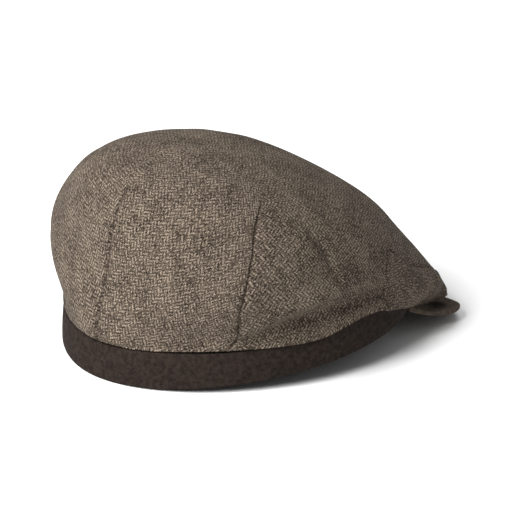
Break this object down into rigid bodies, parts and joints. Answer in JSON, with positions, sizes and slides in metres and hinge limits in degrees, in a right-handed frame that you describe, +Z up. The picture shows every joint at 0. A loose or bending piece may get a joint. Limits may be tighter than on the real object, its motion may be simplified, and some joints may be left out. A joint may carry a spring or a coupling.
{
  "type": "ivy cap",
  "caption": "Ivy cap with a soft darted tweed crown, a tweed yoke in front, a plain dark wool band round the head opening and a short stiff peak.",
  "frame": {"origin": "on the floor, under the middle of the cap's length and width", "axes": "+X to the front, +Y to the wearer's left, +Z up; the band is pitched nose up as the cap lies by itself"},
  "size_m": [0.226, 0.1712, 0.1156],
  "materials": {
    "tweed": "matt herringbone tweed",
    "dark_wool": "matt felted wool"
  },
  "bodies": {
    "root": {"crown": "tweed", "front_yoke": "tweed", "band": "dark_wool", "peak": "dark_wool"}
  },
  "joints": []
}
